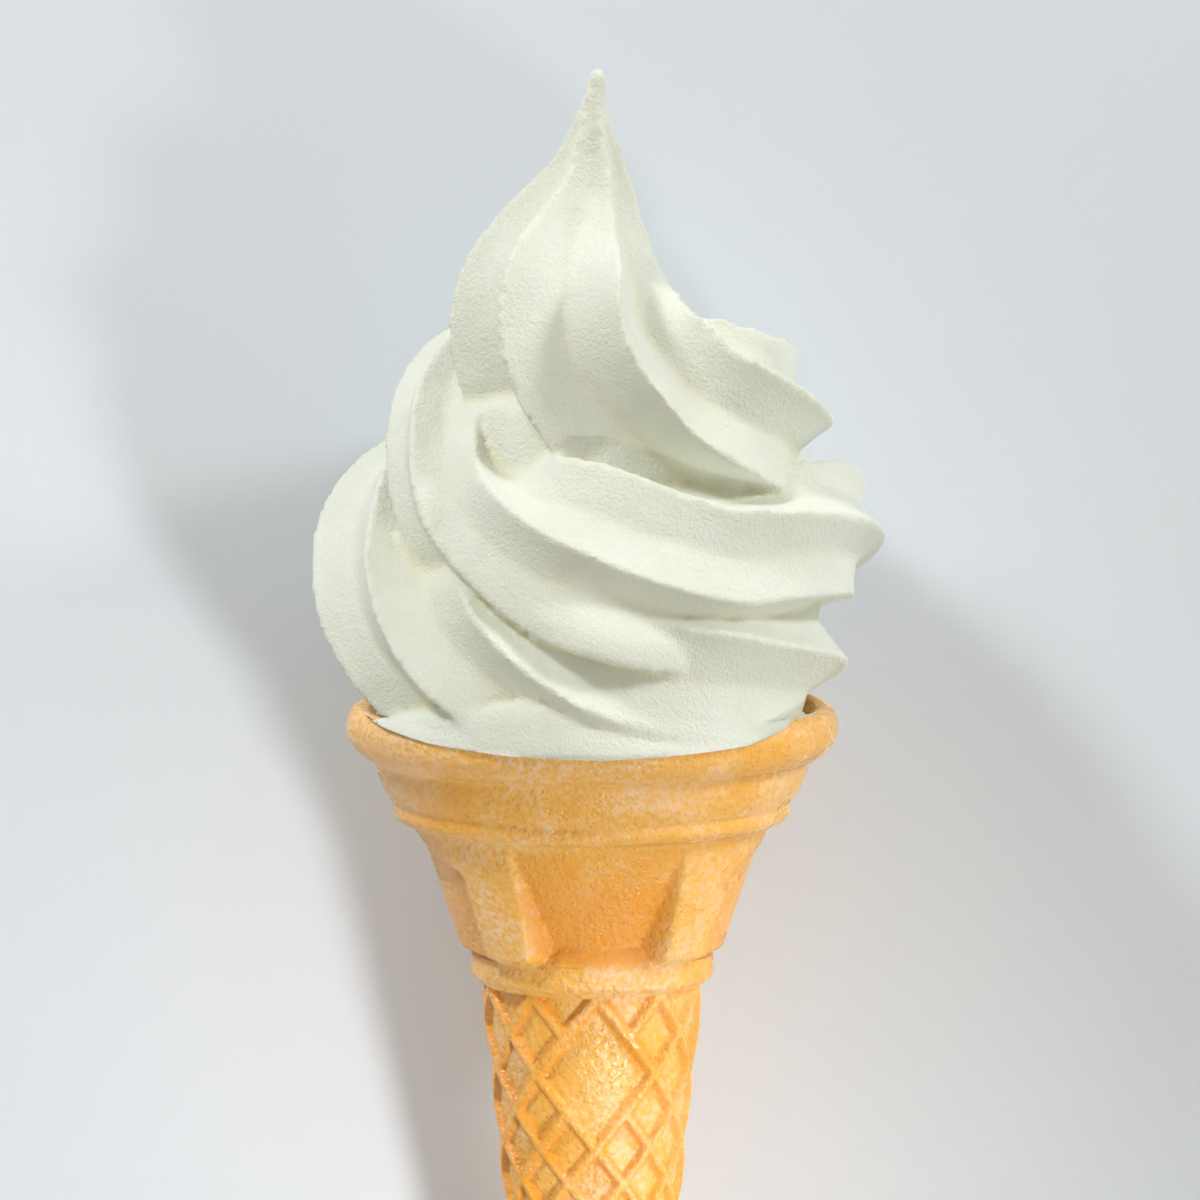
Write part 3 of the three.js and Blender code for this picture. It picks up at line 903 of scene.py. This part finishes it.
def add_camera(settings):
    data = bpy.data.cameras.new("camera")
    camera = bpy.data.objects.new("camera", data)
    bpy.context.scene.collection.objects.link(camera)
    tilt = math.radians(settings.camera_height)
    target = Vector(CAMERA["looks_at"]) * MM
    back = Vector((0, -math.cos(tilt), math.sin(tilt)))
    lay = Matrix.Translation(Vector(REST_PLACE) * MM) @ LAID.to_3x3().to_4x4()
    place = target + back * settings.camera_distance
    upward = LAID.to_3x3() @ Vector((0, 0, 1))
    camera.matrix_world = aimed(lay @ target, lay @ place, upward)
    data.sensor_width = CAMERA["sensor"]
    data.lens = CAMERA["sensor"] * settings.camera_distance / settings.view_width
    data.clip_end = CAMERA["sees"]
    bpy.context.scene.camera = camera


def add_light(name, place, target, size, power, colour, spread):
    data = bpy.data.lights.new(name, "AREA")
    data.shape = "DISK"
    data.size = size
    data.energy = power
    data.color = colour
    data.spread = math.radians(spread)
    light = bpy.data.objects.new(name, data)
    light.matrix_world = aimed(Vector(target), Vector(place), Vector(LIGHT_UPWARD))
    bpy.context.scene.collection.objects.link(light)


def add_sky(context, settings):
    world = context.scene.world or bpy.data.worlds.new("soft light")
    context.scene.world = world
    world.use_nodes = True
    sky = world.node_tree.nodes["Background"]
    sky.inputs["Color"].default_value = SKY_COLOUR
    sky.inputs["Strength"].default_value = settings.fill
    context.scene.view_settings.view_transform = "Standard"


def add_floor(settings):
    shape = bmesh.new()
    bmesh.ops.create_grid(shape, x_segments=1, y_segments=1, size=FLOOR["size"])
    mesh = mesh_of(shape, "floor")
    floor = bpy.data.objects.new("floor", mesh)
    bpy.context.scene.collection.objects.link(floor)
    material, tree, shader = new_material("pale_floor")
    masks = grain_masks(tree, *FLOOR["scales"])
    pale = mixed(tree, masks["Patch"], settings.floor, settings.floor_pale)
    tree.links.new(pale, shader.inputs["Base Color"])
    shader.inputs["Roughness"].default_value = FLOOR["roughness"]
    mesh.materials.append(material)


# ---- settings ----
def length(name, description, default):
    return bpy.props.FloatProperty(
        name=name, description=description, default=default, min=0, unit="LENGTH"
    )


def number(name, description, default):
    return bpy.props.FloatProperty(name=name, description=description, default=default, min=0)


def colour(name, description, default):
    return bpy.props.FloatVectorProperty(
        name=name,
        description=description,
        default=(*default, 1),
        min=0,
        max=1,
        size=4,
        subtype="COLOR",
    )


class SwirlSettings(bpy.types.PropertyGroup):
    valley: number(
        "Valley", "Valley's distance from the rope's middle, as a share of a crest's", 0.72
    )
    rope_step: number("Rope step", "Degrees of turn between the rope's rings", 2.5)
    swirl_mesh: length("Mesh", "Side of the faces of the swirl's skin", 0.00051)
    streak_height: length("Streaks", "Height of the fine lines along the rope", 0.00007)
    cream: colour("Cream", "Colour of the ice cream", (0.76, 0.785, 0.69))
    cream_pale: colour("Pale cream", "Colour of its paler patches", (0.8, 0.82, 0.74))
    # Painted shade: the warm colour painted into the creases for their shade and bounced light.
    cream_crease_shade: colour("Deep cream", "Colour down in its creases", (0.76, 0.72, 0.5))


class WaferSettings(bpy.types.PropertyGroup):
    wafer: colour("Wafer", "Colour of the baked wafer", (0.92, 0.48, 0.09))
    wafer_light: colour("Light", "Colour of its pale grains", (0.96, 0.61, 0.26))
    wafer_floury: colour("Floury", "Colour where it is dusted with flour", (0.96, 0.7, 0.48))
    wafer_toasted: colour("Toasted", "Colour of its darker patches", (0.9, 0.42, 0.045))
    # Painted shade: the deeper orange painted into the mouldings for their shade and bounce light.
    wafer_recess_shade: colour("Deep", "Colour down in its mouldings", (0.9, 0.35, 0.03))


class StageSettings(bpy.types.PropertyGroup):
    floor: colour("Floor", "Colour of the floor", (0.66, 0.71, 0.78))
    floor_pale: colour("Pale floor", "Colour of its paler patches", (0.7, 0.74, 0.8))
    fill: number("Fill", "Strength of the even light from all round", 0.4)
    camera_height: number("Camera height", "Degrees of the camera above the cone's front", 7.0)
    camera_distance: length("Camera distance", "From the camera to the cone's axis", 1.2)
    view_width: length("View width", "Width of the picture at the cone's axis", 0.13408)


# ---- operators ----
class OBJECT_OT_soft_serve_swirl(bpy.types.Operator):
    """Add the swirl of soft ice cream"""

    bl_idname = "object.soft_serve_swirl"
    bl_label = "Swirl"

    def execute(self, context):
        swirl_piece(context.scene.soft_serve_swirl)
        return {"FINISHED"}


class OBJECT_OT_wafer_cone(bpy.types.Operator):
    """Add the wafer's cup and its stem"""

    bl_idname = "object.wafer_cone"
    bl_label = "Wafer cone"

    def execute(self, context):
        cup_piece(context.scene.wafer_cone)
        stem_piece(context.scene.wafer_cone)
        return {"FINISHED"}


class OBJECT_OT_cone_stage(bpy.types.Operator):
    """Add the floor, the lights and the camera"""

    bl_idname = "object.cone_stage"
    bl_label = "Stage"

    def execute(self, context):
        settings = context.scene.cone_stage
        add_floor(settings)
        for name, light in LIGHTS.items():
            add_light(name, **light)
        add_sky(context, settings)
        add_camera(settings)
        return {"FINISHED"}


class VIEW3D_PT_soft_serve(bpy.types.Panel):
    """Lists the pieces of the soft serve cone and their settings"""

    bl_idname = "VIEW3D_PT_soft_serve"
    bl_label = "Soft Serve Cone"
    bl_space_type = "VIEW_3D"
    bl_region_type = "UI"
    bl_category = "Soft Serve"

    def draw(self, context):
        for operator, name in BUILD_ORDER:
            box = self.layout.box()
            box.operator(operator)
            settings = getattr(context.scene, name)
            for item in settings.bl_rna.properties:
                if item.identifier not in ("name", "rna_type"):
                    box.prop(settings, item.identifier)


BUILD_ORDER = (
    ("object.soft_serve_swirl", "soft_serve_swirl"),
    ("object.wafer_cone", "wafer_cone"),
    ("object.cone_stage", "cone_stage"),
)
SETTINGS = {
    "soft_serve_swirl": SwirlSettings,
    "wafer_cone": WaferSettings,
    "cone_stage": StageSettings,
}
OPERATORS = (OBJECT_OT_soft_serve_swirl, OBJECT_OT_wafer_cone, OBJECT_OT_cone_stage)
CLASSES = (*SETTINGS.values(), *OPERATORS, VIEW3D_PT_soft_serve)


def register():
    for item in CLASSES:
        bpy.utils.register_class(item)
    for name, group in SETTINGS.items():
        setattr(bpy.types.Scene, name, bpy.props.PointerProperty(type=group))


def unregister():
    for name in SETTINGS:
        delattr(bpy.types.Scene, name)
    for item in reversed(CLASSES):
        bpy.utils.unregister_class(item)


def main():
    register()
    for operator, _ in BUILD_ORDER:
        group, name = operator.split(".")
        getattr(getattr(bpy.ops, group), name)()


if __name__ == "__main__":
    main()
